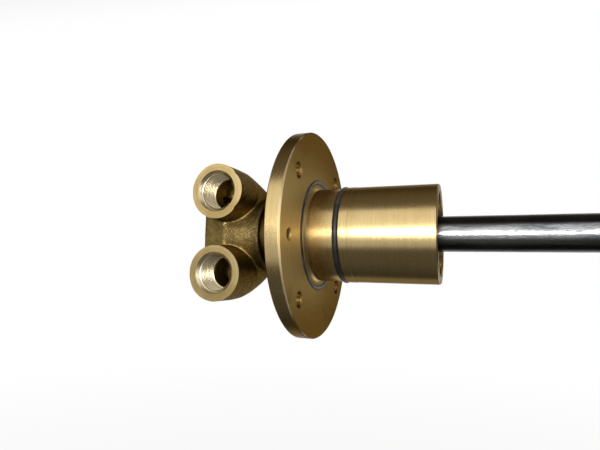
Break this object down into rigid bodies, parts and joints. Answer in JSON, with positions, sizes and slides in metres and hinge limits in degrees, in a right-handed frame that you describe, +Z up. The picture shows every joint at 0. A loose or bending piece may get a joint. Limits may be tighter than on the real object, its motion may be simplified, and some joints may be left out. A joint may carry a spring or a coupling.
{
  "type": "hydraulic rotary union",
  "caption": "Recessed two-way rotary union: flanged barrel that turns with a roll on a fixed cast head with tapped ports and a central siphon pipe.",
  "frame": {"origin": "centre of the flange's machine face, on the axis of rotation", "axes": "+X along the axis from the flange into the roll, towards the siphon pipe's open end; both ports face -Y; +Z up"},
  "size_m": [0.3415, 0.15, 0.15],
  "materials": {
    "turned_brass": "satin, turned",
    "cast_bronze": "rough sand casting, machined port faces and bores",
    "polished_steel": "polished",
    "machined_steel": "turned",
    "lapped_steel": "lapped",
    "bearing_steel": "ground",
    "cage_brass": "machined",
    "spring_steel": "drawn wire",
    "blackened_steel": "blackened",
    "gasket_copper": "annealed",
    "carbon_graphite": "matt, lapped nose",
    "black_rubber": "satin"
  },
  "bodies": {
    "rotor": {"flanged_barrel": "turned_brass", "flange_face_oring": "black_rubber", "barrel_oring": "black_rubber", "rear_bearing_outer_ring": "bearing_steel", "front_bearing_outer_ring": "bearing_steel", "outer_bearing_spacer": "machined_steel", "bearing_circlip": "blackened_steel", "lip_seal": "black_rubber", "lip_seal_garter_spring": "spring_steel", "seal_seat": "lapped_steel", "seal_seat_oring": "black_rubber", "seal_seat_circlip": "blackened_steel"},
    "stator": {"port_head": "cast_bronze", "siphon_pipe": "polished_steel", "pipe_oring": "black_rubber", "hollow_spindle": "machined_steel", "spindle_gasket": "gasket_copper", "rear_bearing_inner_ring": "bearing_steel", "front_bearing_inner_ring": "bearing_steel", "inner_bearing_spacer": "machined_steel", "spindle_circlip": "blackened_steel", "seal_drive_collar": "machined_steel", "collar_set_screws": "blackened_steel", "seal_drive_pins": "machined_steel", "seal_spring": "spring_steel"},
    "rear_cage": {"rear_bearing_cage": "cage_brass", "rear_bearing_balls": "bearing_steel"},
    "front_cage": {"front_bearing_cage": "cage_brass", "front_bearing_balls": "bearing_steel"},
    "seal_ring": {"carbon_seal_ring": "carbon_graphite", "carbon_ring_oring": "black_rubber"}
  },
  "joints": [
    {"name": "stator_turn", "type": "hinge", "parent": "rotor", "child": "stator", "pos_m": [0, 0, 0], "axis": [1, 0, 0], "continuous": true},
    {"name": "rear_cage_turn", "type": "hinge", "parent": "rotor", "child": "rear_cage", "pos_m": [0, 0, 0], "axis": [1, 0, 0], "continuous": true},
    {"name": "front_cage_turn", "type": "hinge", "parent": "rotor", "child": "front_cage", "pos_m": [0, 0, 0], "axis": [1, 0, 0], "continuous": true},
    {"name": "seal_float", "type": "slide", "parent": "stator", "child": "seal_ring", "axis": [1, 0, 0], "range_m": [-0.0015, 0], "stiffness_N_per_m": 4000, "springref_m": 0.005, "deforming": ["seal_spring"]}
  ],
  "couplings": [
    {"joint": "rear_cage_turn", "follows": "stator_turn", "ratio": 0.4333},
    {"joint": "front_cage_turn", "follows": "stator_turn", "ratio": 0.4333}
  ]
}
